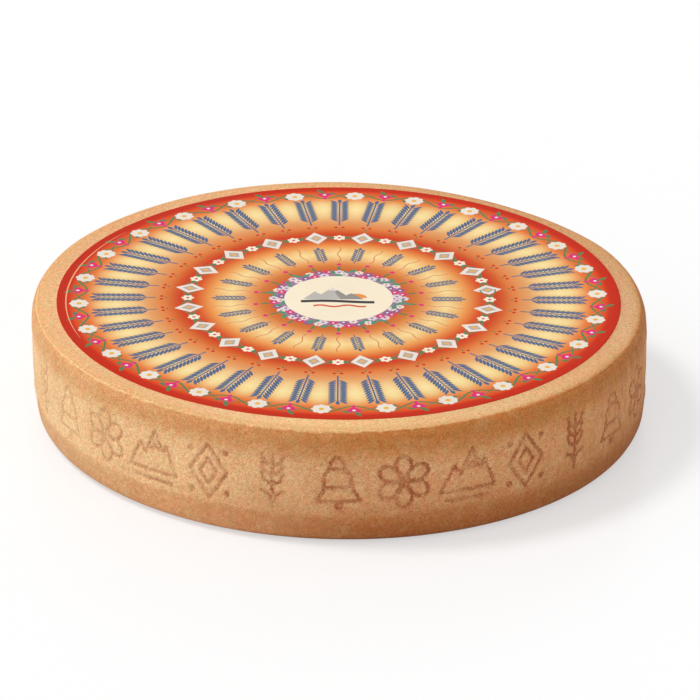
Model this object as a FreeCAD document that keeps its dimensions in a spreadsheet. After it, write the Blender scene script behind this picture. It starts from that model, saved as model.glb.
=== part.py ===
# Gruyere cheese wheel with a round paper label on its upper face.
#
# Millimetres.  The wheel stands on the XY plane and its axis is Z.  It is pressed in a hoop, so
# its side swells a little and its rim and foot are rounded.  A shallow band runs round the side,
# where the hoop's marking strip sat, and the upper face lies inside a low raised lip.
import FreeCAD, Part
import math
import os
import Sketcher

# alias, value and meaning of each driving size
SIZES = [
    ("wheel_diameter", 590.0, "across the swell of the side, at mid height"),
    ("wheel_height", 112.0, "foot to the crest of the lip"),
    ("belly_bulge", 3.0, "swell of the side at mid height, over its edges before rounding"),
    ("rim_rounding", 10.0, "radius between the side and the crest of the lip"),
    ("foot_rounding", 12.0, "radius between the side and the foot"),
    ("crest_width", 1.0, "flat crest of the lip"),
    ("lip_slope", 3.0, "width of the lip's inner slope"),
    ("lip_height", 1.0, "crest of the lip above the upper face"),
    ("band_bottom", 32.0, "height of the marking band's lower edge"),
    ("band_drop", 22.0, "crest of the lip down to the marking band's upper edge"),
    ("band_depth", 1.0, "marking band below the swell of the side"),
    ("label_thickness", 0.4, "paper label"),
    ("label_gap", 7.0, "bare rind between the label and the lip where they are nearest"),
    ("label_shift", 3.0, "label's centre behind the wheel's axis, towards +Y"),
]
OUTPUT_FOLDER = "parts"
FULL_TURN = 360.0
BAND_OVERCUT = 3.0      # how far the band's cutting section reaches past its own depth

# expressions that several features share
BELLY_RADIUS = "((sizes.wheel_height / 2) ^ 2 + sizes.belly_bulge ^ 2) / (2 * sizes.belly_bulge)"
BELLY_CENTRE = f"sizes.wheel_diameter / 2 - {BELLY_RADIUS}"
CREST_RADIUS = (f"{BELLY_CENTRE} + sqrt(({BELLY_RADIUS} - sizes.rim_rounding) ^ 2"
                " - (sizes.wheel_height / 2 - sizes.rim_rounding) ^ 2)")
SEAT_RADIUS = f"{CREST_RADIUS} - sizes.crest_width - sizes.lip_slope"
SEAT_HEIGHT = "sizes.wheel_height - sizes.lip_height"

# ends of a sketch edge, and the sketch's own origin and upright axis, as the sketcher numbers them
START, END, CENTRE = 1, 2, 3
ORIGIN = (-1, START)
UPRIGHT_AXIS = -2


def make_sheet(doc):
    """Write the driving sizes to a spreadsheet, one aliased cell each, and return them."""
    sheet = doc.addObject("Spreadsheet::Sheet", "sizes")
    for row, (alias, value, meaning) in enumerate(SIZES, start=1):
        sheet.set(f"A{row}", alias)
        sheet.set(f"B{row}", str(value))
        sheet.set(f"C{row}", meaning)
        sheet.setAlias(f"B{row}", alias)
    doc.recompute()
    return {alias: float(sheet.get(alias)) for alias, _, _ in SIZES}


def belly_arc(size):
    """Centre (radius, height) and radius of the arc that the side follows."""
    half_height = size["wheel_height"] / 2
    bulge = size["belly_bulge"]
    radius = (half_height ** 2 + bulge ** 2) / (2 * bulge)
    return (size["wheel_diameter"] / 2 - radius, half_height), radius


def rounding_centre(size, rounding, height):
    """Centre of a rounding that touches the side's arc from inside, at the centre's height."""
    (belly_x, belly_height), belly_radius = belly_arc(size)
    run = math.sqrt((belly_radius - rounding) ** 2 - (height - belly_height) ** 2)
    return (belly_x + run, height)


def new_sketch(body, name):
    """Add a sketch on the body's upright XZ plane, where x is the radius and y the height."""
    plane = next(item for item in body.Origin.OriginFeatures if item.Role == "XZ_Plane")
    sketch = body.newObject("Sketcher::SketchObject", name)
    sketch.AttachmentSupport = (plane, [""])
    sketch.MapMode = "FlatFace"
    return sketch


def add_line(sketch, start, end):
    """Add a line between two (radius, height) points."""
    return sketch.addGeometry(Part.LineSegment(FreeCAD.Vector(*start, 0), FreeCAD.Vector(*end, 0)))


def arc_about(centre, radius, low_turn, high_turn):
    """Arc about a (radius, height) centre, anticlockwise between two angles in radians."""
    circle = Part.Circle(FreeCAD.Vector(*centre, 0), FreeCAD.Vector(0, 0, 1), radius)
    return Part.ArcOfCircle(circle, low_turn, high_turn)


def direction(start, end):
    """Angle in radians of the line from one (radius, height) point to another."""
    return math.atan2(end[1] - start[1], end[0] - start[0])


def close_chain(sketch, edges, smooth=()):
    """Join each edge's end to the next one's start, tangent where the edge is in smooth."""
    for edge, following in zip(edges, edges[1:] + edges[:1]):
        kind = "Tangent" if edge in smooth else "Coincident"
        sketch.addConstraint(Sketcher.Constraint(kind, edge, END, following, START))


def keep_level(sketch, edges):
    """Keep edges horizontal."""
    for edge in edges:
        sketch.addConstraint(Sketcher.Constraint("Horizontal", edge))


def bind(sketch, name, expression, kind, *arguments):
    """Add a dimension to the sketch and bind it to the sheet."""
    index = sketch.addConstraint(Sketcher.Constraint(kind, *arguments))
    sketch.renameConstraint(index, name)
    sketch.setExpression(f"Constraints.{name}", expression)


def bind_belly(sketch, arc, size, inset_expression="0", inset=0.0):
    """Fix an arc to the side's own arc, or parallel to it and further in."""
    (centre_x, centre_height), radius = belly_arc(size)
    bind(sketch, "belly_centre", BELLY_CENTRE, "DistanceX", *ORIGIN, arc, CENTRE, centre_x)
    bind(sketch, "belly_height", "sizes.wheel_height / 2",
         "DistanceY", *ORIGIN, arc, CENTRE, centre_height)
    bind(sketch, "belly_radius", f"{BELLY_RADIUS} - {inset_expression}",
         "Radius", arc, radius - inset)


def draw_half_section(body, size):
    """Half of the wheel's section: foot, rounding, swelling side, rounding, top and axis."""
    height = size["wheel_height"]
    foot_round = size["foot_rounding"]
    rim_round = size["rim_rounding"]
    belly_centre, belly_radius = belly_arc(size)
    foot_centre = rounding_centre(size, foot_round, foot_round)
    rim_centre = rounding_centre(size, rim_round, height - rim_round)
    low_turn = direction(belly_centre, foot_centre)
    high_turn = direction(belly_centre, rim_centre)
    quarter = math.pi / 2

    sketch = new_sketch(body, "half_section")
    foot = add_line(sketch, (0, 0), (foot_centre[0], 0))
    heel = sketch.addGeometry(arc_about(foot_centre, foot_round, -quarter, low_turn))
    side = sketch.addGeometry(arc_about(belly_centre, belly_radius, low_turn, high_turn))
    rim = sketch.addGeometry(arc_about(rim_centre, rim_round, high_turn, quarter))
    top = add_line(sketch, (rim_centre[0], height), (0, height))
    axis = add_line(sketch, (0, height), (0, 0))
    close_chain(sketch, [foot, heel, side, rim, top, axis], smooth=(foot, heel, side, rim))
    keep_level(sketch, [foot, top])
    sketch.addConstraint(Sketcher.Constraint("Vertical", axis))
    sketch.addConstraint(Sketcher.Constraint("Coincident", foot, START, *ORIGIN))
    bind_belly(sketch, side, size)
    bind(sketch, "foot_rounding", "sizes.foot_rounding", "Radius", heel, foot_round)
    bind(sketch, "rim_rounding", "sizes.rim_rounding", "Radius", rim, rim_round)
    bind(sketch, "height", "sizes.wheel_height", "DistanceY", *ORIGIN, top, START, height)
    return sketch


def draw_band_section(body, size):
    """Section cut from the side: an arc parallel to it, opening outwards at 45 degrees."""
    depth = size["band_depth"]
    low = size["band_bottom"] + depth
    high = size["wheel_height"] - size["band_drop"] - depth
    belly_centre, belly_radius = belly_arc(size)
    floor_radius = belly_radius - depth
    reach = depth + BAND_OVERCUT
    low_turn = math.asin((low - belly_centre[1]) / floor_radius)
    high_turn = math.asin((high - belly_centre[1]) / floor_radius)
    floor_arc = arc_about(belly_centre, floor_radius, low_turn, high_turn)
    low_in = (floor_arc.StartPoint.x, low)
    high_in = (floor_arc.EndPoint.x, high)
    low_out = (low_in[0] + reach, low - reach)
    high_out = (high_in[0] + reach, high + reach)

    sketch = new_sketch(body, "band_section")
    floor = sketch.addGeometry(floor_arc)
    upper = add_line(sketch, high_in, high_out)
    outer = add_line(sketch, high_out, low_out)
    lower = add_line(sketch, low_out, low_in)
    close_chain(sketch, [floor, upper, outer, lower])
    bind_belly(sketch, floor, size, "sizes.band_depth", depth)
    bind(sketch, "low", "sizes.band_bottom + sizes.band_depth",
         "DistanceY", *ORIGIN, floor, START, low)
    bind(sketch, "high", "sizes.wheel_height - sizes.band_drop - sizes.band_depth",
         "DistanceY", *ORIGIN, floor, END, high)
    overcut = f"sizes.band_depth + {BAND_OVERCUT}"
    bind(sketch, "low_run", overcut, "DistanceX", floor, START, lower, START, reach)
    bind(sketch, "low_rise", overcut, "DistanceY", lower, START, floor, START, reach)
    bind(sketch, "high_run", overcut, "DistanceX", floor, END, upper, END, reach)
    bind(sketch, "high_rise", overcut, "DistanceY", floor, END, upper, END, reach)
    return sketch


def draw_seat_section(body, size):
    """Section cut from the top: the sunk upper face and the lip's inner slope."""
    height = size["wheel_height"]
    floor = height - size["lip_height"]
    crest = rounding_centre(size, size["rim_rounding"], height - size["rim_rounding"])[0]
    mouth = crest - size["crest_width"]
    seat = mouth - size["lip_slope"]

    sketch = new_sketch(body, "seat_section")
    bottom = add_line(sketch, (0, floor), (seat, floor))
    slope = add_line(sketch, (seat, floor), (mouth, height))
    top = add_line(sketch, (mouth, height), (0, height))
    axis = add_line(sketch, (0, height), (0, floor))
    close_chain(sketch, [bottom, slope, top, axis])
    keep_level(sketch, [bottom, top])
    sketch.addConstraint(Sketcher.Constraint("Vertical", axis))
    sketch.addConstraint(Sketcher.Constraint("PointOnObject", bottom, START, UPRIGHT_AXIS))
    bind(sketch, "seat_radius", SEAT_RADIUS, "DistanceX", bottom, START, bottom, END, seat)
    bind(sketch, "seat_height", SEAT_HEIGHT, "DistanceY", *ORIGIN, bottom, START, floor)
    bind(sketch, "slope_width", "sizes.lip_slope",
         "DistanceX", slope, START, slope, END, size["lip_slope"])
    bind(sketch, "slope_height", "sizes.lip_height",
         "DistanceY", slope, START, slope, END, size["lip_height"])
    return sketch


def revolve(body, kind, name, sketch):
    """Turn a sketch a full circle about the wheel's axis, to add or to cut."""
    feature = body.newObject(kind, name)
    feature.Profile = sketch
    feature.ReferenceAxis = (sketch, ["V_Axis"])
    feature.Angle = FULL_TURN


def make_wheel(doc, size):
    """The cheese: one pressed wheel."""
    body = doc.addObject("PartDesign::Body", "cheese_wheel")
    body.Label = "cheese_wheel"
    revolve(body, "PartDesign::Revolution", "block", draw_half_section(body, size))
    revolve(body, "PartDesign::Groove", "marking_band", draw_band_section(body, size))
    revolve(body, "PartDesign::Groove", "label_seat", draw_seat_section(body, size))
    return body


def make_label(doc):
    """The paper label: a thin disc that lies flat on the upper face, inside the lip."""
    label = doc.addObject("Part::Cylinder", "paper_label")
    label.Label = "paper_label"
    label.setExpression("Radius", f"{SEAT_RADIUS} - abs(sizes.label_shift) - sizes.label_gap")
    label.setExpression("Height", "sizes.label_thickness")
    label.setExpression("Placement.Base.y", "sizes.label_shift")
    label.setExpression("Placement.Base.z", SEAT_HEIGHT)
    return label


def check(doc, parts):
    """Stop if a feature failed or a sub-part isn't one valid solid."""
    for item in doc.Objects:
        if {"Invalid", "Error"} & set(item.State):
            raise RuntimeError(f"{item.Label} failed: {item.State}")
    for part in parts:
        shape = part.Shape
        if shape.isNull() or not shape.isValid() or len(shape.Solids) != 1:
            raise RuntimeError(f"{part.Label} is not one valid solid")


def export(parts):
    """Write each sub-part to a STEP file named after its label."""
    os.makedirs(OUTPUT_FOLDER, exist_ok=True)
    for part in parts:
        shape = part.Shape
        shape.exportStep(os.path.join(OUTPUT_FOLDER, f"{part.Label}.step"))
        box = shape.optimalBoundingBox()
        print(f"{part.Label}: {box.XLength:.2f} x {box.YLength:.2f} x {box.ZLength:.2f} mm, "
              f"from z {box.ZMin:.2f} to {box.ZMax:.2f}, {shape.Volume / 1e6:.4f} litres")


def main():
    doc = FreeCAD.newDocument("cheese_wheel")
    size = make_sheet(doc)
    parts = [make_wheel(doc, size), make_label(doc)]
    doc.recompute()
    check(doc, parts)
    export(parts)


main()
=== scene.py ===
# Looks of a whole Gruyere cheese wheel with a round printed paper label.
# Metres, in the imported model's frame: the wheel stands on z = 0, its axis is z, -y is the front.
import math

import bpy
import numpy as np
from mathutils import Matrix, Vector
from mathutils.geometry import delaunay_2d_cdt


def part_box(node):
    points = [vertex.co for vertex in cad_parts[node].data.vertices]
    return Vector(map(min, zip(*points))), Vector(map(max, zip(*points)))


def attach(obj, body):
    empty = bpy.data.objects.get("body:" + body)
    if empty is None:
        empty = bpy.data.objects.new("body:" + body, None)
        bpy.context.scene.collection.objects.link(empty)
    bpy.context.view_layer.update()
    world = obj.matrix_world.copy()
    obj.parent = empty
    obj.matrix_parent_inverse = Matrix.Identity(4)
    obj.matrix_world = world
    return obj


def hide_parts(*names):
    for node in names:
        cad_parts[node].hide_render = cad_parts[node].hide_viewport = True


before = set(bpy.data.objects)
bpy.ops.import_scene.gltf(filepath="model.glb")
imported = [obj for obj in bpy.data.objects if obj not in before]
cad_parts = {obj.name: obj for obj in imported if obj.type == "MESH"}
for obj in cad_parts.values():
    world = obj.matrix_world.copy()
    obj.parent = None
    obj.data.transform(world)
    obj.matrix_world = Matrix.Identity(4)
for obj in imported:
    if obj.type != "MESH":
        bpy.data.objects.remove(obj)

MM = 0.001
TURN = 2 * math.pi
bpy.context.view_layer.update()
WHEEL_LOW, WHEEL_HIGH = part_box("cheese_wheel")
LABEL_LOW, LABEL_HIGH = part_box("paper_label")
rng = np.random.default_rng(11)

# ---- the wheel's form -------------------------------------------------------------------------
HEIGHT = WHEEL_HIGH.z
FACE_HEIGHT = LABEL_LOW.z               # upper face, inside the lip
BAND_LOW, BAND_HIGH = 32 * MM, 90 * MM  # marking band, pressed into the side
BAND_DEPTH = 0.6 * MM
BAND_STEP = 2.5 * MM                    # height over which the band's lower edge sinks in
BAND_FADE = 8.0 * MM                    # and the upper one, which is soft
BEAD_HEIGHT = 0.4 * MM                  # ridge under the band's lower edge
BEAD_WIDTH = 1.6 * MM
SWELL = 3.6 * MM                        # belly of the side at mid height
RIM_ROUNDING = 10 * MM
FOOT_ROUNDING = 12 * MM
CREST_WIDTH = 1.0 * MM
LIP_SLOPE = 9.0 * MM
# rows of the rim, by their angle from the upright: close together where the ridge stands
RIM_TURNS = np.radians([*np.linspace(90, 60, 6), *np.linspace(56, 20, 16), *np.linspace(16, 0, 4)])
RIDGE = 0.9 * MM                        # fine ridge where the top turns over into the side
RIDGE_TURN, RIDGE_SPREAD = math.radians(34), math.radians(6)
SHARPEST, SHARP_SPREAD = math.radians(222), math.radians(34)  # where lip and ridge stand sharpest
OVAL = 0.009                            # share by which one diagonal is long and the other short
DEPTH_SHARE = 0.995                     # front to back, beside the width
# a hollow and a swell of the plan: direction and spread in degrees, and how far out it stands
BULGES = [(57, 17, -3.6 * MM), (23, 11, 1.8 * MM)]
# waves of the side: height, number round the wheel, radians per metre of height, and phase
SIDE_WAVES = [(0.30 * MM, 3, 40, 0), (0.22 * MM, 5, -55, 1.3), (0.14 * MM, 11, 70, 2.1),
              (0.09 * MM, 23, -90, 0)]
FOOT_SHIFT = (1.7 * MM, -4.0 * MM)      # the wheel leans a little over its foot
FOOT_NARROWING = 0.010                  # share by which the foot is less wide than the top
COLUMNS = 1280                          # facets round the band; other rows have fewer
STROKE_DEPTH = 1.1 * MM                 # pressed ornament below the band
THREAD = 1.4 * MM                       # pitch of the pressing cloth's threads


def smooth(low, high, value):
    """0 below low, 1 above high, and a soft step between."""
    share = np.clip((value - low) / (high - low), 0, 1)
    return share * share * (3 - 2 * share)


def angle_from(turn, middle):
    """Signed angle from a middle direction, within half a turn either way."""
    return (turn - middle + math.pi) % TURN - math.pi


def belly_sink(z):
    """How far the side lies inside its widest line at a height."""
    return SWELL * ((z - HEIGHT / 2) / (HEIGHT / 2)) ** 2


SIDE_RADIUS = (WHEEL_HIGH.x - WHEEL_LOW.x) / 2 + belly_sink(BAND_LOW)
FOOT_EDGE = SIDE_RADIUS - SWELL - FOOT_ROUNDING
CREST_RADIUS = SIDE_RADIUS - SWELL - RIM_ROUNDING
SEAT_RADIUS = CREST_RADIUS - CREST_WIDTH - LIP_SLOPE


def band_sink(z):
    """Depth of the marking band at a height, with a slight bead under its lower edge."""
    above = smooth(BAND_LOW, BAND_LOW + BAND_STEP, z)
    below = 1 - smooth(BAND_HIGH - BAND_FADE, BAND_HIGH, z)
    bead = np.exp(-((z - BAND_LOW + BEAD_WIDTH) / BEAD_WIDTH) ** 2)
    return BAND_DEPTH * above * below - BEAD_HEIGHT * bead


def plan_radius(radius, turn):
    """Radius in a direction: the wheel is a little oval, with a hollow and a swell at the back."""
    reach = radius * (1 - OVAL * np.sin(2 * turn))
    for middle, spread, stand in BULGES:
        away = angle_from(turn, math.radians(middle)) / math.radians(spread)
        reach = reach + stand * np.exp(-away ** 2) * radius / SIDE_RADIUS
    return reach


def unevenness(turn, z):
    """Slow swells and hollows of the side, which no pressed wheel is free of."""
    return sum(height * np.sin(count * turn + phase + climb * z)
               for height, count, climb, phase in SIDE_WAVES)


def face_undulation(x, y):
    """Slow rise and fall of the upper face, which the label follows."""
    return MM * (0.16 * np.sin(21 * x + 13 * y) + 0.12 * np.sin(-16 * x + 27 * y + 1)
                 + 0.06 * np.sin(52 * x + 2) * np.sin(47 * y))


def sharpness(turn):
    """How sharp lip and ridge stand round the wheel: most along the front left."""
    away = angle_from(turn, SHARPEST) / SHARP_SPREAD
    return 0.45 + 0.9 * np.exp(-away ** 2) + 0.12 * np.sin(7 * turn)


def ridge_share(radius, z):
    """1 on the line where the top turns over into the side, fading to 0 beside it."""
    turn = math.atan2(radius - SIDE_RADIUS + belly_sink(z) + RIM_ROUNDING, z - HEIGHT + RIM_ROUNDING)
    return math.exp(-((turn - RIDGE_TURN) / RIDGE_SPREAD) ** 2)


def side_row(z, columns, inset=0.0):
    """One ring of the side: radius, height and columns."""
    return SIDE_RADIUS - belly_sink(z) - inset, z, columns


def wheel_rows():
    """Rings of the skin from the foot's middle to the face's middle: radius, height, columns."""
    half, quarter, eighth = COLUMNS // 2, COLUMNS // 4, COLUMNS // 8
    # the flat foot and its rounding
    rows = [(FOOT_EDGE * share, 0, eighth) for share in np.linspace(0.03, 0.72, 8)]
    rows += [(FOOT_EDGE * share, 0, quarter) for share in np.linspace(0.78, 0.98, 6)]
    for turn in np.linspace(0, math.pi / 2, 9):
        inset = FOOT_ROUNDING * (1 - math.sin(turn))
        rows.append(side_row(FOOT_ROUNDING * (1 - math.cos(turn)), half, inset))
    # the side: below the band, the band itself in fine rows, and above it
    band_start, band_end = BAND_LOW - 3 * MM, BAND_HIGH + 1 * MM
    for z in np.linspace(FOOT_ROUNDING, BAND_LOW - 4 * MM, 7)[1:]:
        rows.append(side_row(z, half))
    for z in np.linspace(band_start, band_end, 45):
        rows.append(side_row(z, COLUMNS, band_sink(z)))
    for z in np.linspace(band_end, HEIGHT - RIM_ROUNDING, 6)[1:-1]:
        rows.append(side_row(z, half))
    # the rim's rounding, the lip's inner slope and the face
    for turn in RIM_TURNS:
        inset = RIM_ROUNDING * (1 - math.sin(turn))
        rows.append(side_row(HEIGHT - RIM_ROUNDING * (1 - math.cos(turn)), half, inset))
    for share in np.linspace(0, 1, 6):
        z = HEIGHT - (HEIGHT - FACE_HEIGHT) * smooth(0, 1, share)
        rows.append((CREST_RADIUS - CREST_WIDTH - share * LIP_SLOPE, z, half))
    rows += [(SEAT_RADIUS * share, FACE_HEIGHT, quarter) for share in np.linspace(0.985, 0.6, 6)]
    rows += [(SEAT_RADIUS * share, FACE_HEIGHT, eighth) for share in np.linspace(0.5, 0.04, 6)]
    return rows


# ---- pressed ornament: open lines, in millimetres about each ornament's middle -------------------
def arc(centre_x, centre_y, radius_x, radius_y, start, end, steps=16):
    """Points along part of an ellipse, between two angles in degrees."""
    turn = np.radians(np.linspace(start, end, steps))
    return np.c_[centre_x + radius_x * np.cos(turn), centre_y + radius_y * np.sin(turn)]


def turned(points, degrees):
    """Points turned about the origin."""
    turn = math.radians(degrees)
    spin = np.array([[math.cos(turn), math.sin(turn)], [-math.sin(turn), math.cos(turn)]])
    return np.asarray(points, float) @ spin


def lozenge_ornament():
    """A lozenge in a lozenge, with a dot beside each of its sides."""
    outer = np.array([(0, 26), (19, 0), (0, -26), (-19, 0), (0, 26)], float)
    inner = np.array([(0, 12), (8, 0), (0, -12), (-8, 0), (0, 12)], float)
    return [outer, inner] + [arc(x, y, 1.5, 1.5, 0, 360, 6) for x in (-18, 18) for y in (-20, 20)]


def flower_ornament():
    """Six outlined petals round a small eye."""
    petal = arc(0, 15, 7.5, 10.5, 0, 360, 18)
    return [turned(petal, 60 * k) for k in range(6)] + [arc(0, 0, 2, 2, 0, 360, 8)]


def ear_ornament():
    """A wheat ear: a stalk, three pairs of grains and two drooping leaves."""
    lines = [np.array([(0, -26), (0, 26)], float)]
    for height in (-4, 5, 14):
        for side in (-1, 1):
            lines.append(np.array([(0, height), (side * 8, height + 4), (side * 10, height + 11)]))
    return lines + [arc(side * 11, -26, 11, 15, 90, 90 + side * 85) for side in (-1, 1)]


def peaks_ornament():
    """Mountain peaks with a snow line, over two level lines."""
    peaks = np.array([(-27, -14), (-13, 10), (-7, 1), (4, 25), (13, 6), (17, 12), (27, -14)], float)
    snow = np.array([(-3, 10), (1, 6), (4, 11), (8, 7), (11, 10)], float)
    meadow = np.array([(-27, -15), (27, -15)], float)
    brook = np.array([(-21, -24), (21, -24)], float)
    return [peaks, snow, meadow, brook]


def bell_ornament():
    """A cow bell with its crown, strap and clapper."""
    body = np.array([(-7, 14), (-12, 8), (-14, -8), (-20, -18), (20, -18), (14, -8), (12, 8), (7, 14),
                     (-7, 14)], float)
    strap = np.array([(-13, -4), (13, -4)], float)
    return [body, strap, arc(0, 15, 7, 10, 0, 180), arc(0, -23, 2.5, 2.5, 0, 360, 8)]


ORNAMENTS = [lozenge_ornament, ear_ornament, bell_ornament, flower_ornament, peaks_ornament]
ORNAMENT_REPEATS = 6
ORNAMENT_MIDDLE = 61 * MM   # height of the ornaments' middles
ORNAMENT_REACH = 32 * MM    # no ornament is wider than this to either side
ORNAMENT_STRAY = 0.6        # how far one sits from its place round the side, in millimetres
ORNAMENT_TILT = 0.8         # degrees
ORNAMENT_LIFT = 0.4         # millimetres up or down
STROKE_HALF_WIDTH = 2.0     # millimetres
STROKE_EDGE = 0.7           # half the width over which a stroke's wall rises, in millimetres


def stroke_distance(points, lines):
    """Distance from each point to the nearest of the ornament's lines, in millimetres."""
    starts = np.concatenate([line[:-1] for line in lines])
    steps = np.concatenate([line[1:] for line in lines]) - starts
    offset = points[:, None] - starts[None]
    length = np.maximum((steps ** 2).sum(1), 1e-9)
    share = np.clip((offset * steps).sum(2) / length, 0, 1)
    return np.sqrt(((offset - share[..., None] * steps) ** 2).sum(2)).min(1)


def ornament_mask(turns, heights):
    """1 where an ornament is pressed in, 0 on the plain band, over a grid of rows by columns."""
    mask = np.zeros((len(heights), len(turns)))
    count = len(ORNAMENTS) * ORNAMENT_REPEATS
    for number in range(count):
        stray = rng.normal(0, ORNAMENT_STRAY) * MM / SIDE_RADIUS
        middle = TURN * (number + 0.5) / count + stray
        tilt, lift = rng.normal(0, ORNAMENT_TILT), rng.normal(0, ORNAMENT_LIFT)
        pressure = rng.uniform(0.75, 1)
        away = angle_from(turns, middle)
        near = np.flatnonzero(np.abs(away) * SIDE_RADIUS < ORNAMENT_REACH)
        across = away[near] * SIDE_RADIUS / MM
        grid = np.stack(np.meshgrid(across, (heights - ORNAMENT_MIDDLE) / MM - lift), -1)
        lines = [turned(line, tilt) for line in ORNAMENTS[number % len(ORNAMENTS)]()]
        distance = stroke_distance(grid.reshape(-1, 2), lines).reshape(grid.shape[:2])
        stroke = 1 - smooth(STROKE_HALF_WIDTH - STROKE_EDGE, STROKE_HALF_WIDTH + STROKE_EDGE, distance)
        mask[:, near] = np.maximum(mask[:, near], pressure * stroke)
    return mask


# ---- meshes -------------------------------------------------------------------------------------
def make_piece(name, points, groups, material):
    """Smooth shaded mesh object from points and arrays of faces, one array for each face size."""
    mesh = bpy.data.meshes.new(name)
    sizes = np.concatenate([np.full(len(group), group.shape[1]) for group in groups])
    corners = np.concatenate([group.ravel() for group in groups])
    mesh.vertices.add(len(points))
    mesh.vertices.foreach_set("co", np.asarray(points, np.float32).ravel())
    mesh.loops.add(len(corners))
    mesh.loops.foreach_set("vertex_index", corners.astype(np.int32))
    mesh.polygons.add(len(sizes))
    mesh.polygons.foreach_set("loop_start", (np.cumsum(sizes) - sizes).astype(np.int32))
    mesh.update(calc_edges=True)
    mesh.shade_smooth()
    mesh.materials.append(material)
    piece = bpy.data.objects.new(name, mesh)
    bpy.context.collection.objects.link(piece)
    return piece


def skin_ring(radius, z, turn, pressed):
    """Points of one ring of the wheel's skin: oval, uneven, with its share of pressed ornament.

    Every ring is shifted and narrowed by how low it lies; the lip rises and sinks round the face."""
    near_side = smooth(SIDE_RADIUS * 0.9, SIDE_RADIUS * 0.96, radius)
    ridge = RIDGE * ridge_share(radius, z) * sharpness(turn)
    reach = plan_radius(radius, turn) + ridge * math.sin(RIDGE_TURN) - STROKE_DEPTH * pressed
    reach = reach + near_side * smooth(0, FOOT_ROUNDING, z) * unevenness(turn, z)
    lowness = 1 - z / HEIGHT
    x = reach * np.cos(turn) * (1 - FOOT_NARROWING * lowness) + FOOT_SHIFT[0] * lowness
    y = reach * np.sin(turn) * DEPTH_SHARE + FOOT_SHIFT[1] * lowness
    on_face = smooth(HEIGHT - RIM_ROUNDING, HEIGHT - MM, z)
    on_lip = smooth(SEAT_RADIUS, CREST_RADIUS, radius) * on_face
    on_lip = on_lip * (1 - smooth(CREST_RADIUS, CREST_RADIUS + 0.7 * RIM_ROUNDING, radius))
    rise = on_lip * (HEIGHT - FACE_HEIGHT) * (sharpness(turn) - 1) + ridge * math.cos(RIDGE_TURN)
    return np.c_[x, y, z + on_face * face_undulation(x, y) + rise]


def strip_pattern(lower, upper):
    """Corners of the faces between two rings: which ring each is on, and its place round the ring."""
    step = np.arange(min(lower, upper))
    if lower == upper:
        return [0, 0, 1, 1], np.stack([step, step + 1, step + 1, step], 1)
    if lower > upper:
        return [0, 0, 0, 1, 1], np.stack([2 * step, 2 * step + 1, 2 * step + 2, step + 1, step], 1)
    return [0, 0, 1, 1, 1], np.stack([step, step + 1, 2 * step + 2, 2 * step + 1, 2 * step], 1)


def skin_rings(rows, climb):
    """Every ring's points and marks, from the foot's middle to the face's middle.

    The marks say how deep a point is pressed in, how far inward from the ridge it is, in metres,
    and how much it belongs to the ridge."""
    ridge_climb = climb[np.argmax([ridge_share(radius, z) for radius, z, _ in rows])]
    band_rows = [number for number, row in enumerate(rows) if row[2] == COLUMNS]
    band_turns = np.arange(COLUMNS) * TURN / COLUMNS
    mask = ornament_mask(band_turns, np.array([rows[number][1] for number in band_rows]))
    rings, marks = [], []
    for number, (radius, z, columns) in enumerate(rows):
        turn = np.arange(columns) * TURN / columns
        pressed = mask[number - band_rows[0]] if columns == COLUMNS else np.zeros(columns)
        rings.append(skin_ring(radius, z, turn, pressed))
        inward = np.full(columns, climb[number] - ridge_climb)
        marks.append(np.c_[pressed, inward, ridge_share(radius, z) * sharpness(turn)])
    return rings, marks


def skin_faces(rows, points, climb):
    """Corners of the faces, and of each corner its place in the cloth, counted in threads.

    The cloth runs round and up the side, and straight across foot and face."""
    first = np.cumsum([0] + [columns for _, _, columns in rows])
    threads_round = round(TURN * SIDE_RADIUS / THREAD)
    on_side = [radius > FOOT_EDGE - MM and z < HEIGHT - MM for radius, z, _ in rows]
    groups, cloth = [], []
    for number in range(len(rows) - 1):
        which, place = strip_pattern(rows[number][2], rows[number + 1][2])
        ring = number + np.array(which)
        columns = np.array([rows[k][2] for k in ring])
        corner = first[ring] + place % columns
        groups.append(corner)
        if on_side[number] and on_side[number + 1]:
            across, up = np.broadcast_arrays(place / columns * threads_round, climb[ring] / THREAD)
            cloth.append(np.stack([across, up], -1))
        else:
            cloth.append(points[corner][..., :2] / THREAD)
    foot_middle, face_middle = first[-1], first[-1] + 1
    for middle, number in ((foot_middle, 0), (face_middle, len(rows) - 1)):
        step = np.arange(rows[number][2])
        edge = [first[number] + step, first[number] + (step + 1) % len(step)]
        if middle == foot_middle:  # it faces down
            edge.reverse()
        corner = np.stack([np.full(len(step), middle)] + edge, 1)
        groups.append(corner)
        cloth.append(points[corner][..., :2] / THREAD)
    return groups, cloth


def build_wheel(material):
    """The rind as one closed skin, with the marking band and its ornament in relief."""
    rows = wheel_rows()
    section = np.array([row[:2] for row in rows])
    climb = np.concatenate([[0], np.cumsum(np.hypot(*np.diff(section, axis=0).T))])
    rings, marks = skin_rings(rows, climb)
    foot_middle = np.zeros((1, 3))
    face_middle = np.array([[0, 0, FACE_HEIGHT + face_undulation(0, 0)]])
    points = np.concatenate(rings + [foot_middle, face_middle])
    marks = np.concatenate(marks + [marks[0][:1], marks[-1][:1]])
    groups, cloth = skin_faces(rows, points, climb)

    wheel = make_piece("cheese_rind", points, groups, material)
    layer = wheel.data.uv_layers.new(name="cloth")
    layer.uv.foreach_set("vector", np.concatenate([uv.ravel() for uv in cloth]).astype(np.float32))
    for name, values in zip(("stroke", "inward", "ridge"), marks.T):
        mark = wheel.data.attributes.new(name, "FLOAT", "POINT")
        mark.data.foreach_set("value", values.astype(np.float32))
    return wheel


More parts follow.
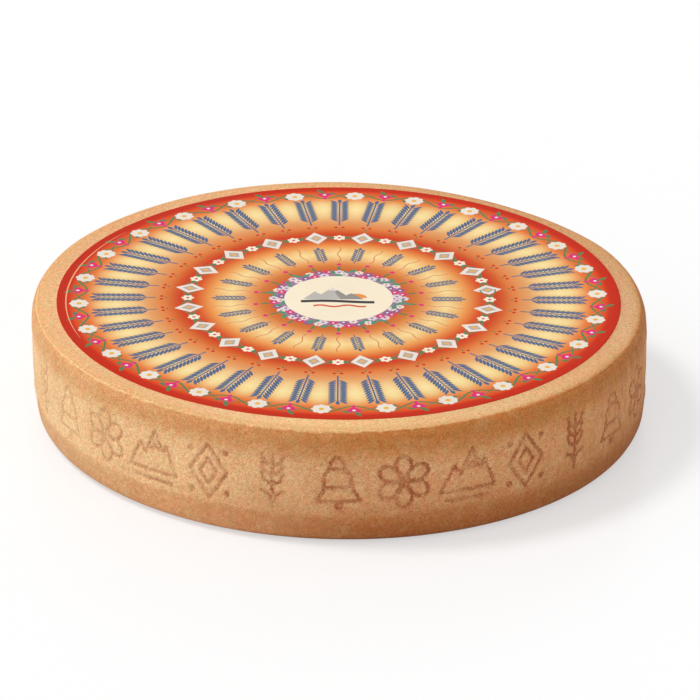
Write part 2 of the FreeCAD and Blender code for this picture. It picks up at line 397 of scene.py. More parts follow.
# ---- materials ----------------------------------------------------------------------------------
def srgb(red, green, blue):
    """Linear colour from the 0 to 255 values of a paint swatch."""
    def linear(value):
        value = value / 255
        return value / 12.92 if value <= 0.04045 else ((value + 0.055) / 1.055) ** 2.4
    return (linear(red), linear(green), linear(blue), 1.0)


class Shader:
    """A material whose nodes are added by short calls, most of which return an output socket."""

    def __init__(self, name, roughness, specular):
        self.material = bpy.data.materials.new(name)
        self.material.use_nodes = True
        self.tree = self.material.node_tree
        self.surface = self.tree.nodes["Principled BSDF"]
        self.surface.inputs["Roughness"].default_value = roughness
        self.surface.inputs["Specular IOR Level"].default_value = specular

    def node(self, kind, inputs=None, **settings):
        made = self.tree.nodes.new("ShaderNode" + kind)
        for key, value in settings.items():
            setattr(made, key, value)
        for key, value in (inputs or {}).items():
            self.feed(made.inputs[key], value)
        return made

    def feed(self, socket, value):
        if isinstance(value, bpy.types.NodeSocket):
            self.tree.links.new(value, socket)
        else:
            socket.default_value = value

    def math(self, operation, first, second=0.0, third=0.0):
        return self.node("Math", {0: first, 1: second, 2: third}, operation=operation).outputs[0]

    def attribute(self, name):
        return self.node("Attribute", attribute_name=name)

    def place(self):
        return self.node("TexCoord").outputs["Object"]

    def noise(self, scale, detail=2.0, roughness=0.5, stretch=(1, 1, 1)):
        """Noise with about as many bumps in a metre as its scale says."""
        place = self.node("VectorMath", {0: self.place(), 1: stretch}, operation="MULTIPLY")
        return self.node("TexNoise", {"Vector": place.outputs[0], "Scale": scale, "Detail": detail,
                                      "Roughness": roughness}).outputs["Fac"]

    def spread(self, value, low, high, new_low=0.0, new_high=1.0):
        """A value's place between low and high, held there and mapped to the new range."""
        return self.node("MapRange", {"Value": value, "From Min": low, "From Max": high,
                                      "To Min": new_low, "To Max": new_high}).outputs["Result"]

    def ramp(self, value, stops):
        """Colour by value, from stops of a position and a colour in rising order."""
        ramp = self.node("ValToRGB", {"Fac": value})
        elements = ramp.color_ramp.elements
        while len(elements) < len(stops):
            elements.new(1.0)
        for element, (position, colour) in zip(elements, stops):
            element.position = position
            element.color = colour
        return ramp.outputs["Color"]

    def product(self, first, *others):
        """All the values multiplied together."""
        for other in others:
            first = self.math("MULTIPLY", first, other)
        return first

    def mix(self, share, first, second, blend="MIX"):
        made = self.node("Mix", data_type="RGBA", blend_type=blend)
        self.feed(made.inputs["Factor"], share)
        self.feed(made.inputs["A"], first)
        self.feed(made.inputs["B"], second)
        return made.outputs["Result"]

    def finish(self, colour, roughness, relief, depth):
        """Join colour, roughness and a relief given in metres to the surface."""
        self.feed(self.surface.inputs["Base Color"], colour)
        self.feed(self.surface.inputs["Roughness"], roughness)
        bump = self.node("Bump", {"Height": relief, "Distance": depth, "Strength": 1.0})
        self.feed(self.surface.inputs["Normal"], bump.outputs["Normal"])
        return self.material


# tones of the side from foot to rim, by share of the height; the dark heel is partly the rind's own
# brown and partly painted shade where the foot turns under
SIDE_TONES = [
    (0.00, srgb(150, 84, 40)), (0.06, srgb(168, 100, 48)), (0.13, srgb(171, 103, 53)),
    (0.18, srgb(178, 111, 60)), (0.24, srgb(188, 124, 72)), (0.28, srgb(204, 144, 96)),
    (0.34, srgb(211, 155, 107)), (0.42, srgb(220, 165, 117)), (0.60, srgb(224, 170, 122)),
    (0.73, srgb(220, 165, 115)), (0.80, srgb(207, 145, 88)), (0.86, srgb(199, 132, 71)),
    (1.00, srgb(194, 122, 58))]
# painted light and shade on the band: pale tints on the left stand for the lamps' light there, a
# deeper orange on the right for shade; where each starts and is full, left to right, its strength and
# colour
BAND_LIT_LEFT_SHADED_RIGHT = [
    (30 * MM, -150 * MM, 0.65, srgb(243, 207, 156)),
    (-130 * MM, -292 * MM, 0.36, srgb(228, 208, 164)),
    (20 * MM, 290 * MM, 0.38, srgb(236, 158, 88))]
# tones of the upper face from left to right: its golden tan, with painted light on the left and
# painted shade on the right
FACE_REACH = 290 * MM
FACE_TONES_LIT_LEFT = [
    (0.00, srgb(246, 197, 144)), (0.12, srgb(240, 193, 141)), (0.30, srgb(242, 198, 148)),
    (0.50, srgb(242, 200, 142)), (0.75, srgb(228, 187, 137)), (0.92, srgb(219, 170, 120)),
    (1.00, srgb(217, 178, 137))]


def side_tone(rind, place, patches):
    """Tan of the side: brown at heel and shoulder, paler in the band, with blooms and streaks. The
    heel's brown is partly painted shade; painted light lies on the left of the band and on the front
    left of the heel, and painted shade on the band's right.
    """
    x = place.outputs["X"]
    ragged = rind.math("MULTIPLY_ADD", rind.noise(60, 3.0), 5 * MM, place.outputs["Z"])
    level = rind.math("DIVIDE", rind.math("SUBTRACT", ragged, 2.5 * MM), HEIGHT)
    tone = rind.ramp(level, SIDE_TONES)
    in_band = rind.product(rind.spread(level, 0.22, 0.32, 0.55, 1.0),
                           rind.spread(level, 0.74, 0.85, 1.0, 0.45))
    # painted light on the left of the band, painted shade on its right
    for start, full, strength, colour in BAND_LIT_LEFT_SHADED_RIGHT:
        share = rind.product(rind.spread(x, start, full), in_band, strength)
        tone = rind.mix(share, tone, colour)
    # painted light: the heel lighter at the front left, where the lamps reach it
    painted_light_heel = rind.product(rind.spread(x, 0.0, -110 * MM), rind.spread(x, -240 * MM, -160 * MM),
                             rind.spread(level, 0.30, 0.20), 0.22)
    tone = rind.mix(painted_light_heel, tone, srgb(250, 182, 130))
    tone = rind.mix(rind.product(patches, 0.30), tone, srgb(196, 134, 80))
    bloom = rind.product(rind.spread(rind.noise(55, 3.0, 0.6), 0.52, 0.75), in_band, 0.35)
    tone = rind.mix(bloom, tone, srgb(238, 204, 160))
    upright_streaks = rind.noise(330, 2.0, 0.5, stretch=(1, 1, 0.05))
    scuffed = rind.product(rind.spread(upright_streaks, 0.50, 0.66),
                           rind.spread(x, 225 * MM, 275 * MM), 0.4)
    return rind.mix(scuffed, tone, srgb(150, 82, 46))


def face_tone(rind, place, patches, inward):
    """Golden tan of the upper face, duller at the back and browner at its edge; painted light on its
    left, painted shade on its right and towards the back right.
    """
    x, y = place.outputs["X"], place.outputs["Y"]
    tone = rind.ramp(rind.spread(x, -FACE_REACH, FACE_REACH), FACE_TONES_LIT_LEFT)
    tone = rind.mix(rind.product(patches, 0.22), tone, srgb(226, 168, 108))
    backward = rind.product(rind.spread(y, 0.0, 140 * MM), 0.5)
    tone = rind.mix(backward, tone, srgb(226, 168, 118))
    # painted shade: darker towards the back right corner, away from the lamps
    diagonal = rind.math("MULTIPLY_ADD", y, 0.84, x)
    shaded_far_corner = rind.product(rind.spread(diagonal, 200 * MM, 365 * MM), 0.5)
    tone = rind.mix(shaded_far_corner, tone, srgb(188, 142, 100))
    edge = rind.product(rind.spread(inward, 11.0 * MM, 5.5 * MM), 0.4)
    return rind.mix(edge, tone, srgb(214, 160, 98))


def face_share(rind, place, inward):
    """1 on the face and 0 on the side; the line between is ragged, and softer on the right."""
    x = place.outputs["X"]
    worn_over = rind.math("SUBTRACT", rind.spread(x, 10 * MM, 130 * MM, -0.3 * MM, 3.4 * MM),
                          rind.spread(x, 160 * MM, 270 * MM, 0.0, 2.4 * MM))
    softness = rind.spread(x, 130 * MM, 270 * MM, 1.4 * MM, 4.0 * MM)
    beyond = rind.math("SUBTRACT", inward, worn_over)
    return rind.spread(rind.math("DIVIDE", beyond, softness), 0.0, 1.0)


def cloth_weave(rind):
    """Height of the weave that the pressing cloth leaves, from -1 to 1 and worn in places."""
    wobble = rind.node("TexNoise", {"Vector": rind.place(), "Scale": 60}).outputs["Color"]
    cloth = rind.attribute("cloth").outputs["Vector"]
    thread = rind.node("VectorMath", {0: cloth, 1: wobble}, operation="ADD").outputs[0]
    thread = rind.node("SeparateXYZ", {0: thread})
    waves = [rind.math("SINE", rind.product(thread.outputs[axis], math.pi)) for axis in "XY"]
    return rind.product(*waves, rind.spread(rind.noise(30), 0.35, 0.65, 0.4, 1.0))


def stroke_stain(rind, place):
    """Where the pressed strokes are stained: broken by the grain, and faint towards the left."""
    dots = rind.spread(rind.noise(420), 0.38, 0.60)
    stroke = rind.math("MULTIPLY_ADD", dots, 0.6, rind.attribute("stroke").outputs["Fac"])
    fading = rind.product(rind.spread(rind.noise(48), 0.36, 0.60, 0.5, 1.0),
                          rind.spread(place.outputs["X"], -270 * MM, -60 * MM, 0.4, 1.0))
    return rind.product(rind.spread(stroke, 0.55, 1.35), fading, 0.86)


def rind_material():
    """Washed rind: tan, darker at heel and shoulder, with a cloth's weave pressed into it; painted
    light and shade from left to right, and a painted highlight along the ridge.
    """
    rind = Shader("rind", roughness=0.68, specular=0.20)
    place = rind.node("SeparateXYZ", {0: rind.place()})
    patches = rind.spread(rind.noise(22, 4.0, 0.6), 0.4, 0.7)
    inward = rind.math("ADD", rind.product(rind.noise(110, 3.0), 4 * MM),
                       rind.attribute("inward").outputs["Fac"])
    on_face = face_share(rind, place, inward)
    tone = rind.mix(on_face, side_tone(rind, place, patches),
                    face_tone(rind, place, patches, inward))
    # painted highlight along the ridge where the top turns over, strongest at the front left
    ridge = rind.product(rind.spread(rind.attribute("ridge").outputs["Fac"], 0.4, 1.2),
                         rind.spread(rind.noise(170), 0.38, 0.60, 0.1, 0.7))
    tone = rind.mix(ridge, tone, srgb(244, 212, 162))
    hue = rind.spread(rind.noise(130, 3.0, 0.6), 0.38, 0.62)
    cast = rind.mix(hue, (1.05, 0.95, 0.96, 1), (0.97, 1.03, 0.99, 1))
    tone = rind.mix(1.0, tone, cast, blend="MULTIPLY")

    weave = cloth_weave(rind)
    grain = rind.math("SUBTRACT", rind.noise(760, 3.0, 0.7), 0.5)
    coarse = rind.math("SUBTRACT", rind.noise(260, 3.0, 0.6), 0.5)
    shade = rind.math("MULTIPLY_ADD", grain, 3.2, rind.math("MULTIPLY_ADD", weave, 0.38, 0.5))
    shade = rind.math("MULTIPLY_ADD", coarse, 1.2, shade)
    speckle = rind.mix(shade, (0.74, 0.62, 0.50, 1), (1.22, 1.26, 1.30, 1))
    strength = rind.spread(on_face, 0.0, 1.0, 1.0, 0.9)
    tone = rind.mix(strength, tone, speckle, blend="MULTIPLY")
    tone = rind.mix(stroke_stain(rind, place), tone, srgb(158, 74, 36))

    roughness = rind.spread(rind.math("ADD", coarse, grain), -0.4, 0.4, 0.58, 0.80)
    relief = rind.math("MULTIPLY_ADD", grain, 1.3, rind.product(weave, 0.35))
    relief = rind.math("MULTIPLY_ADD", coarse, 1.6, relief)
    return rind.finish(tone, roughness, relief, 0.5 * MM)


# ---- the label's print and a painted highlight along a fold: polygons in millimetres, +y away from the label's middle ---
LABEL_RADIUS = (LABEL_HIGH.x - LABEL_LOW.x) / 2 / MM
LABEL_MIDDLE = ((LABEL_LOW + LABEL_HIGH) / 2).xy
PAPER_THICKNESS = LABEL_HIGH.z - LABEL_LOW.z
GLUE = 0.05 * MM            # between the paper and the face
LABEL_DEPTH_SHARE = 0.992   # front to back, beside the width
LABEL_SHIFT = 1.0 * MM      # towards the back
EDGE_CORNERS = 360
GRID_PITCH = 9.0            # points between the shapes, so that the paper follows the face
GRID_MARGIN = 4.0           # bare of them along the edge
INSIDE_TRIANGLES = 1        # the division returns only the triangles inside the shapes
DIVISION_TOLERANCE = 1e-3
# how many motifs each ring has, and the radius of their middles
BLOOMS, BLOOM_RADIUS = 26, 248          # daisies on the outer garland
EARS, EAR_RADIUS = 40, 207              # wheat ears round the wide yellow band
LOZENGES, LOZENGE_RADIUS = 20, 144      # lozenges on the inner garland
SMALL_EARS, SMALL_EAR_RADIUS = 18, 102
WREATH_EDGE, MEDALLION_RADIUS = 63, 52
WREATH_RINGS = ((62, 40), (55.5, 36))   # radius and number of blossoms
CREASE_HIGHLIGHT_RADIUS = 0.967 * LABEL_RADIUS    # painted highlight along a fold at the left, a pale line on the paper
CREASE_HIGHLIGHT_START, CREASE_HIGHLIGHT_END = 143, 202     # degrees
BLUE, SLATE = srgb(82, 104, 138), srgb(98, 112, 134)
WHITE, CREAM = srgb(236, 227, 216), srgb(250, 236, 210)
PINK, GREEN, RED = srgb(222, 44, 120), srgb(88, 128, 84), srgb(204, 38, 26)
GOLD, RUST, HIGHLIGHT_PEACH = srgb(240, 180, 60), srgb(214, 120, 66), srgb(240, 168, 128)
GREY, DARK, SMOKE = srgb(150, 146, 142), srgb(58, 56, 60), srgb(184, 170, 168)
PALE_GREY = srgb(190, 186, 180)
LILAC, ROSE, TEAL = srgb(148, 88, 146), srgb(226, 210, 216), srgb(78, 146, 116)
MAUVE, ORANGE, BRICK = srgb(158, 122, 150), srgb(236, 150, 72), srgb(214, 84, 48)


def leaf(x, y, length, width, degrees, colour, steps=5):
    """Pointed leaf from (x, y) along an angle measured from +y towards -x."""
    share = np.linspace(0, 1, steps)
    half = width / 2 * np.sin(math.pi * share) ** 0.8
    outline = np.r_[np.c_[half, share * length], np.c_[-half[1:-1], share[1:-1] * length][::-1]]
    return turned(outline, degrees) + (x, y), colour


def disc(x, y, radius, colour, corners=14):
    return arc(x, y, radius, radius, 0, 360, corners + 1)[:-1], colour


def ribbon(line, width, colour):
    """Strip of even width along a line."""
    line = np.asarray(line, float)
    along = np.gradient(line, axis=0)
    along /= np.linalg.norm(along, axis=1)[:, None]
    side = np.c_[-along[:, 1], along[:, 0]] * width / 2
    return np.r_[line + side, (line - side)[::-1]], colour


def wheat_ear(length, width, grains, colour):
    """An ear on its stalk, lying along y about the origin, its grains in two slanting rows."""
    pitch = 0.74 * length / grains
    foot = -0.36 * length
    shapes = [ribbon([(0, -0.5 * length), (0, 0.38 * length)], 0.07 * width, colour)]
    for grain in range(grains):
        for side in (-1, 1):
            shapes.append(leaf(side * 0.05 * width, foot + grain * pitch, 0.52 * width, 0.72 * pitch,
                               -side * 40, colour))
    shapes.append(leaf(0, foot + (grains - 0.5) * pitch, 1.9 * pitch, 0.9 * pitch, 0, colour))
    return shapes


def daisy(radius, petals, petal_colour, eye_colour):
    """A flower of round petals about an eye."""
    shapes = [disc(0, 0, 0.62 * radius, petal_colour)]
    for petal in range(petals):
        x, y = turned([(0, 0.66 * radius)], 360 * petal / petals)[0]
        shapes.append(disc(x, y, 0.34 * radius, petal_colour, 9))
    return shapes + [disc(0, 0, 0.28 * radius, eye_colour, 9)]


def heart(size, colour):
    turn = np.linspace(0, TURN, 19)[:-1]
    x = np.sin(turn) ** 3
    y = (13 * np.cos(turn) - 5 * np.cos(2 * turn) - 2 * np.cos(3 * turn) - np.cos(4 * turn)) / 16
    return [(np.c_[x, y] * size / 2, colour)]


def sprig(length, width, colour):
    """Two leaves spreading from one point."""
    return [leaf(0, 0, length, width, side * 62, colour, 6) for side in (-1, 1)]


def crescent(radius, width, start, end, colour, steps=40):
    """Line along a circle between two angles in degrees, thick in its middle, pointed at its ends."""
    swell = width / 2 * np.sin(np.linspace(0, math.pi, steps)) ** 0.6
    turn = np.radians(np.linspace(start, end, steps))
    inner, outer = radius - swell, (radius + swell)[1:-1]
    return np.r_[np.c_[inner * np.cos(turn), inner * np.sin(turn)],
                 np.c_[outer * np.cos(turn[1:-1]), outer * np.sin(turn[1:-1])][::-1]], colour


def lozenge(width, height, colour):
    return [(np.array([(0, -height / 2), (width / 2, 0), (0, height / 2), (-width / 2, 0)]), colour)]


def mountain_scene():
    """Medallion picture: grey peaks with snow over a meadow line and a brook, and a low sun."""
    sun = arc(17, 1, 10, 10, 0, 180, 12)
    far = np.array([(-34, -2), (-23, 16), (-17, 9), (-6, 26), (7, 7), (12, 12), (24, -2)])
    shade = np.array([(-6, 26), (7, 7), (12, 12), (24, -2), (2, -2), (-2, 9)])
    snow = np.array([(-10, 20), (-6, 26), (-1, 19), (-4, 17), (-6, 20), (-8, 17)])
    meadow = np.c_[np.linspace(-36, 34, 15), -7 + 1.6 * np.sin(np.linspace(0, 5, 15))]
    brook = np.c_[np.linspace(-24, 26, 15), -17 + 1.8 * np.sin(np.linspace(0, 12, 15))]
    return [(sun, ORANGE), (far, PALE_GREY), (shade, GREY), (snow, WHITE),
            ribbon(meadow, 5.5, DARK), ribbon(brook, 3.2, BRICK)]


def placed(shapes, radius, turn, spin=0.0):
    """Shapes carried out to a radius and round by a turn; +y points outwards."""
    moved = []
    for outline, colour in shapes:
        local = turned(outline, spin) + (0, radius)
        moved.append((turned(local, math.degrees(turn) - 90), colour))
    return moved


def stem(turns, radii, width):
    """Green stem through points given by their angles and radii."""
    return ribbon(np.c_[radii * np.cos(turns), radii * np.sin(turns)], width, GREEN)


def outer_garland():
    """Two waving vines with daisies and hearts between them, and leaves and buds."""
    shapes = []
    quarter = TURN / BLOOMS / 4
    for bloom in range(BLOOMS):
        turn = TURN * bloom / BLOOMS
        vine = np.linspace(turn, turn + TURN / BLOOMS, 13)
        for swing, width in ((7.0, 2.2), (-5.0, 1.3)):
            shapes.append(stem(vine, BLOOM_RADIUS + swing * np.sin(BLOOMS * vine), width))
        for side, spin in ((-1, 28), (1, -28)):
            along = turn + (2 + side) * quarter
            shapes += placed(sprig(12, 4.6, GREEN), BLOOM_RADIUS + 5 * side, along, spin)
            shapes += placed([disc(0, 0, 2.2, PINK, 7)], BLOOM_RADIUS - 7 * side, along)
        shapes += placed(daisy(9.5, 8, WHITE, GOLD), BLOOM_RADIUS - 0.5, turn + quarter)
        shapes += placed(heart(13.5, PINK) + [disc(0, 1, 1.8, WHITE, 7)],
                         BLOOM_RADIUS + 1, turn + 3 * quarter)
    return shapes


def ear_ring():
    """Wheat ears standing outwards, with three berries at each one's foot."""
    shapes = []
    for ear in range(EARS):
        turn = TURN * ear / EARS
        shapes += placed(wheat_ear(65, 24, 10, BLUE), EAR_RADIUS, turn)
        shapes += placed([disc(x, 0, 1.9, RED, 7) for x in (-3.4, 3.4)], EAR_RADIUS - 38, turn)
        shapes += placed([disc(0, 0, 1.5, GREEN, 6)], EAR_RADIUS - 42, turn)
    return shapes


def inner_garland():
    """Lozenges and small daisies by turns, joined by vines."""
    shapes = []
    half = TURN / LOZENGES / 2
    for number in range(LOZENGES):
        turn = TURN * (number + 0.5) / LOZENGES
        vine = np.linspace(turn, turn + TURN / LOZENGES, 13)
        wave = np.cos(LOZENGES * (vine - turn) / 2) ** 2
        for swing in (7.5, -7.5):
            shapes.append(stem(vine, LOZENGE_RADIUS + swing * wave, 1.5))
        shapes += placed(sprig(13, 4.6, GREEN), LOZENGE_RADIUS - 4, turn + half)
        shapes += placed(sprig(11, 4.2, GREEN), LOZENGE_RADIUS + 4, turn + half, 180)
        nested = lozenge(22, 28, WHITE) + lozenge(12, 15, SMOKE) + lozenge(5, 7, GOLD)
        shapes += placed(nested, LOZENGE_RADIUS, turn)
        shapes += placed(daisy(6.2, 6, CREAM, PINK), LOZENGE_RADIUS, turn + half)
    return shapes


def small_ear_ring():
    """Small ears, and between them a curled line, a bud and its leaf."""
    shapes = []
    curl = np.c_[1.6 * np.sin(np.linspace(0, 9, 13)), np.linspace(-17, 17, 13)]
    for ear in range(SMALL_EARS):
        turn = TURN * ear / SMALL_EARS
        between = turn + TURN / SMALL_EARS / 2
        shapes += placed(wheat_ear(38, 14, 7, SLATE), SMALL_EAR_RADIUS, turn)
        shapes += placed([ribbon(curl, 1.0, RUST)], SMALL_EAR_RADIUS + 2, between)
        shapes += placed([disc(0, 0, 2.6, PINK, 8)], SMALL_EAR_RADIUS - 22, between)
        shapes += placed([leaf(0, 0, 13, 3.0, 0, GREEN)], SMALL_EAR_RADIUS - 38, between)
    return shapes


def wreath():
    """Two rings of blossoms and leaves on a dusky ground, round the plain medallion."""
    shapes = [disc(0, 0, WREATH_EDGE, MAUVE, 60)]
    blossoms = (daisy(5.2, 6, ROSE, LILAC), daisy(4.8, 5, PINK, WHITE), daisy(5.0, 5, LILAC, WHITE),
                daisy(4.6, 6, WHITE, PINK), sprig(10, 5.2, TEAL))
    for (radius, count), offset in zip(WREATH_RINGS, (0, 0.5)):
        for number in range(count):
            spin = rng.uniform(-60, 60)
            turn = TURN * (number + offset) / count
            blossom = blossoms[number % len(blossoms)]
            shapes += placed(blossom, radius + rng.uniform(-1, 1), turn, spin)
    return shapes + [disc(0, 0, MEDALLION_RADIUS, CREAM, 60)]


def label_print_and_highlight():
    """All printed shapes, and the painted highlight along the fold, from the lowest layer to the top
    one.
    """
    # painted highlight: a pale line along a fold of the paper, drawn like the print
    crease_highlight = crescent(CREASE_HIGHLIGHT_RADIUS, 1.5, CREASE_HIGHLIGHT_START, CREASE_HIGHLIGHT_END, HIGHLIGHT_PEACH)
    return (outer_garland() + ear_ring() + inner_garland() + small_ear_ring() + wreath()
            + [crease_highlight] + mountain_scene())


def anticlockwise(outline):
    """The outline with its points in anticlockwise order, as the division below needs them."""
    x, y = outline.T
    area = np.sum(x * np.roll(y, -1) - np.roll(x, -1) * y)
    return outline if area > 0 else outline[::-1]


def build_label(material):
    """The paper disc, its face divided along the printed shapes and the painted highlight of a fold,
    so that each takes its own colour.
    """
    edge = arc(0, 0, LABEL_RADIUS, LABEL_RADIUS, 0, 360, EDGE_CORNERS + 1)[:-1]
    shapes = [(edge, (0, 0, 0, 0))] + label_print_and_highlight()
    corners, outlines, count = [], [], 0
    for outline, _ in shapes:
        corners.append(anticlockwise(outline))
        outlines.append(list(range(count, count + len(outline))))
        count += len(outline)
    ticks = np.arange(-LABEL_RADIUS, LABEL_RADIUS, GRID_PITCH)
    grid = np.stack(np.meshgrid(ticks, ticks), -1).reshape(-1, 2)
    corners.append(grid[np.hypot(*grid.T) < LABEL_RADIUS - GRID_MARGIN])
    seeds = [Vector(corner) for corner in np.concatenate(corners)]
    flat, _, faces, _, _, owners = delaunay_2d_cdt(seeds, [], outlines, INSIDE_TRIANGLES,
                                                   DIVISION_TOLERANCE)

    flat = np.array(flat) * MM * (1, LABEL_DEPTH_SHARE) + LABEL_MIDDLE + (0, LABEL_SHIFT)
    top = FACE_HEIGHT + PAPER_THICKNESS + face_undulation(*flat.T)
    label = make_piece("printed_label", np.c_[flat, top], [np.array(faces)], material)
    # the topmost shape over a triangle gives its colour: the ink of a printed shape, and along the
    # fold the painted highlight; the bare paper has none
    inks_and_highlight = np.array([shapes[max(owner)][1] for owner in owners], np.float32)
    layer = label.data.attributes.new("ink_and_highlight", "FLOAT_COLOR", "CORNER")
    layer.data.foreach_set("color", np.repeat(inks_and_highlight, 3, axis=0).ravel())
    sides = np.empty(len(label.data.loops), np.int32)
    label.data.loops.foreach_get("edge_index", sides)
    sharp = label.data.attributes.new("sharp_edge", "BOOLEAN", "EDGE")
    sharp.data.foreach_set("value", np.bincount(sides) == 1)
    paper = label.modifiers.new("paper", "SOLIDIFY")
    paper.thickness = PAPER_THICKNESS - GLUE
    return label


# tones of the paper under the print, by share of the label's radius
LABEL_TONES = [
    (0.24, srgb(208, 96, 40)), (0.28, srgb(214, 122, 58)), (0.31, srgb(230, 150, 84)),
    (0.345, srgb(240, 186, 122)), (0.385, srgb(248, 214, 146)), (0.42, srgb(242, 190, 120)),
    (0.45, srgb(238, 162, 88)), (0.48, srgb(226, 124, 58)), (0.505, srgb(216, 84, 34)),
    (0.53, srgb(211, 62, 24)), (0.56, srgb(207, 60, 20)), (0.585, srgb(211, 90, 34)),
    (0.62, srgb(224, 128, 64)), (0.67, srgb(228, 158, 98)), (0.72, srgb(238, 184, 122)),
    (0.79, srgb(247, 214, 146)), (0.83, srgb(242, 200, 130)), (0.865, srgb(236, 160, 92)),
    (0.90, srgb(230, 116, 52)), (0.93, srgb(225, 94, 36)), (0.95, srgb(218, 70, 24)),
    (0.962, srgb(200, 42, 6)), (1.00, srgb(194, 33, 0))]
# pale streaks midway between the ears of a ring: number of ears, shares of the radius where the
# streaks start, are full and end, strength and colour
STREAKS = [(EARS, 0.68, 0.79, 0.89, 0.8, srgb(250, 230, 168)),
           (SMALL_EARS, 0.32, 0.385, 0.45, 0.6, srgb(250, 226, 164))]


def label_material():
    """Printed paper: soft rings of red, orange and yellow under the inks, with a satin finish."""
    paper = Shader("label_print_and_highlight", roughness=0.5, specular=0.05)
    middle = (-LABEL_MIDDLE[0], -LABEL_MIDDLE[1] - LABEL_SHIFT, 0)
    spot = paper.node("VectorMath", {0: paper.place(), 1: middle}, operation="ADD").outputs[0]
    spot = paper.node("SeparateXYZ", {0: spot})
    x, y = spot.outputs["X"], spot.outputs["Y"]
    turn = paper.math("ARCTAN2", y, x)
    square = paper.math("ADD", paper.math("POWER", x, 2), paper.math("POWER", y, 2))
    share = paper.math("DIVIDE", paper.math("SQRT", square), LABEL_RADIUS * MM)
    rings = paper.ramp(share, LABEL_TONES)
    for count, start, full, end, strength, colour in STREAKS:
        beat = paper.math("COSINE", paper.product(turn, count))
        streaks = paper.product(paper.spread(beat, -0.1, -1.0), paper.spread(share, start, full),
                                paper.spread(share, end, full), strength)
        rings = paper.mix(streaks, rings, colour)
    # ink colours of the print, and the painted highlight along the fold
    ink_and_highlight = paper.attribute("ink_and_highlight")
    tone = paper.mix(ink_and_highlight.outputs["Alpha"], rings, ink_and_highlight.outputs["Color"])
    fibre = paper.noise(900, 3.0, 0.6, stretch=(1, 0.4, 1))
    cloud = paper.noise(14)
    shade = paper.math("ADD", paper.product(fibre, 0.5), paper.product(cloud, 0.5))
    grey = paper.ramp(shade, [(0.3, srgb(240, 239, 237)), (0.7, srgb(253, 252, 251))])
    tone = paper.mix(1.0, tone, grey, blend="MULTIPLY")
    roughness = paper.spread(shade, 0.35, 0.65, 0.40, 0.52)
    return paper.finish(tone, roughness, fibre, 0.06 * MM)


# ---- stage, lights and camera -------------------------------------------------------------------
ELEVATION = math.radians(24.95)
ROLL = math.radians(0.35)
DISTANCE = 5.743                        # metres from the wheel's middle
LENS, SENSOR_WIDTH = 308.6, 36          # millimetres
AIM_RIGHT, AIM_UP = 11.1 * MM, 2.8 * MM  # from the wheel's middle
# each lamp's direction round the wheel, height, softness (all degrees) and power
LAMPS = [("key", 166, 58, 16, 1.6), ("fill", 205, 18, 100, 1.18)]
SKY_STRENGTH = 0.50
FLOOR_REACH = 12.0                      # metres from the wheel to each edge of the floor
FLOOR_GREY = (0.92, 0.92, 0.92, 1)
FLOOR_LIFT = 0.55                       # share of plain white in what the camera sees of it


def seen_ray(tree):
    """1 for what the camera sees, straight or in a gloss or glass, and 0 for the light itself."""
    path = tree.nodes.new("ShaderNodeLightPath")
    seen = path.outputs["Is Camera Ray"]
    for kind in ("Is Glossy Ray", "Is Transmission Ray"):
        either = tree.nodes.new("ShaderNodeMath")
        either.operation = "MAXIMUM"
        tree.links.new(seen, either.inputs[0])
        tree.links.new(path.outputs[kind], either.inputs[1])
        seen = either.outputs[0]
    return seen


def add_floor():
    """White floor; what the camera sees of it is lifted towards white, and keeps the shadow."""
    mesh = bpy.data.meshes.new("floor")
    corners = [(FLOOR_REACH * x, FLOOR_REACH * y, 0) for x, y in ((-1, -1), (1, -1), (1, 1), (-1, 1))]
    mesh.from_pydata(corners, [], [(0, 1, 2, 3)])
    floor = bpy.data.objects.new("floor", mesh)
    bpy.context.collection.objects.link(floor)
    paint = Shader("floor_paint", roughness=0.3, specular=0.5)
    paint.surface.inputs["Base Color"].default_value = FLOOR_GREY
    lifted = paint.node("Emission", {"Color": (1, 1, 1, 1), "Strength": 1.0})
    share = paint.product(seen_ray(paint.tree), FLOOR_LIFT)
    blend = paint.node("MixShader", {0: share, 1: paint.surface.outputs[0], 2: lifted.outputs[0]})
    paint.tree.links.new(blend.outputs[0], paint.tree.nodes["Material Output"].inputs["Surface"])
    mesh.materials.append(paint.material)
    return floor


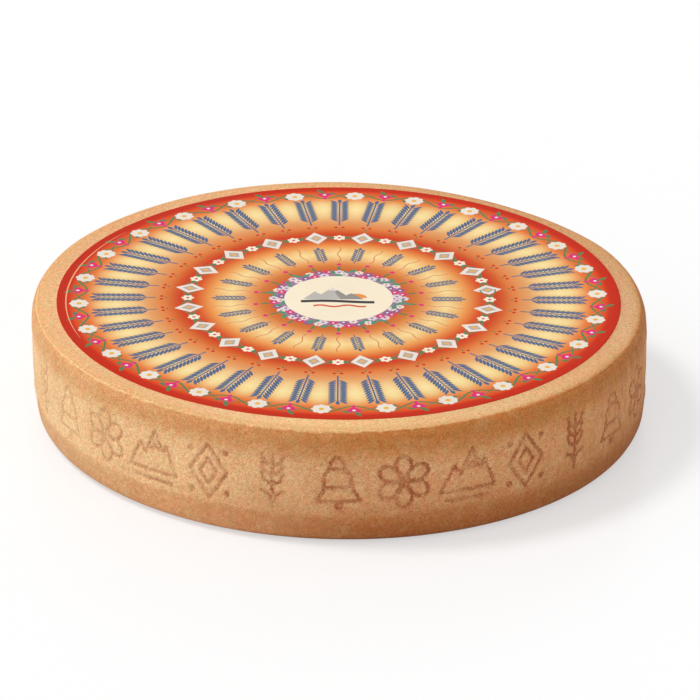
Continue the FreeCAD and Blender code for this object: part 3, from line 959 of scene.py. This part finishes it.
def add_sky():
    """Soft white light from all round, before a white background."""
    world = bpy.data.worlds.new("studio")
    bpy.context.scene.world = world
    world.use_nodes = True
    nodes, links = world.node_tree.nodes, world.node_tree.links
    light, background = nodes["Background"], nodes.new("ShaderNodeBackground")
    for shader, strength in ((light, SKY_STRENGTH), (background, 1.0)):
        shader.inputs["Color"].default_value = (1, 1, 1, 1)
        shader.inputs["Strength"].default_value = strength
    blend = nodes.new("ShaderNodeMixShader")
    links.new(seen_ray(world.node_tree), blend.inputs["Fac"])
    links.new(light.outputs["Background"], blend.inputs[1])
    links.new(background.outputs["Background"], blend.inputs[2])
    links.new(blend.outputs["Shader"], nodes["World Output"].inputs["Surface"])


def add_lamps():
    """Far lamps that shine at the wheel, each from its own direction."""
    for name, turn, elevation, softness, power in LAMPS:
        sun = bpy.data.lights.new(name, "SUN")
        sun.energy = power
        sun.angle = math.radians(softness)
        lamp = bpy.data.objects.new(name, sun)
        turn, elevation = math.radians(turn), math.radians(elevation)
        level = math.cos(elevation)
        towards = Vector((math.cos(turn) * level, math.sin(turn) * level, math.sin(elevation)))
        lamp.rotation_euler = towards.to_track_quat("Z", "Y").to_euler()
        bpy.context.collection.objects.link(lamp)


def add_camera():
    """A long lens from the front, above, its aim a little beside the wheel's middle."""
    lens = bpy.data.cameras.new("camera")
    lens.lens = LENS
    lens.sensor_width = SENSOR_WIDTH
    camera = bpy.data.objects.new("camera", lens)
    turn = Matrix.Rotation(math.pi / 2 - ELEVATION, 4, "X") @ Matrix.Rotation(ROLL, 4, "Z")
    middle = Matrix.Translation((0, 0, HEIGHT / 2))
    camera.matrix_world = middle @ turn @ Matrix.Translation((AIM_RIGHT, AIM_UP, DISTANCE))
    bpy.context.collection.objects.link(camera)
    bpy.context.scene.camera = camera


wheel = build_wheel(rind_material())
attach(wheel, "root")
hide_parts("cheese_wheel")

label = build_label(label_material())
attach(label, "root")
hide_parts("paper_label")

add_floor()
add_sky()
add_lamps()
add_camera()
bpy.context.scene.view_settings.view_transform = "Standard"
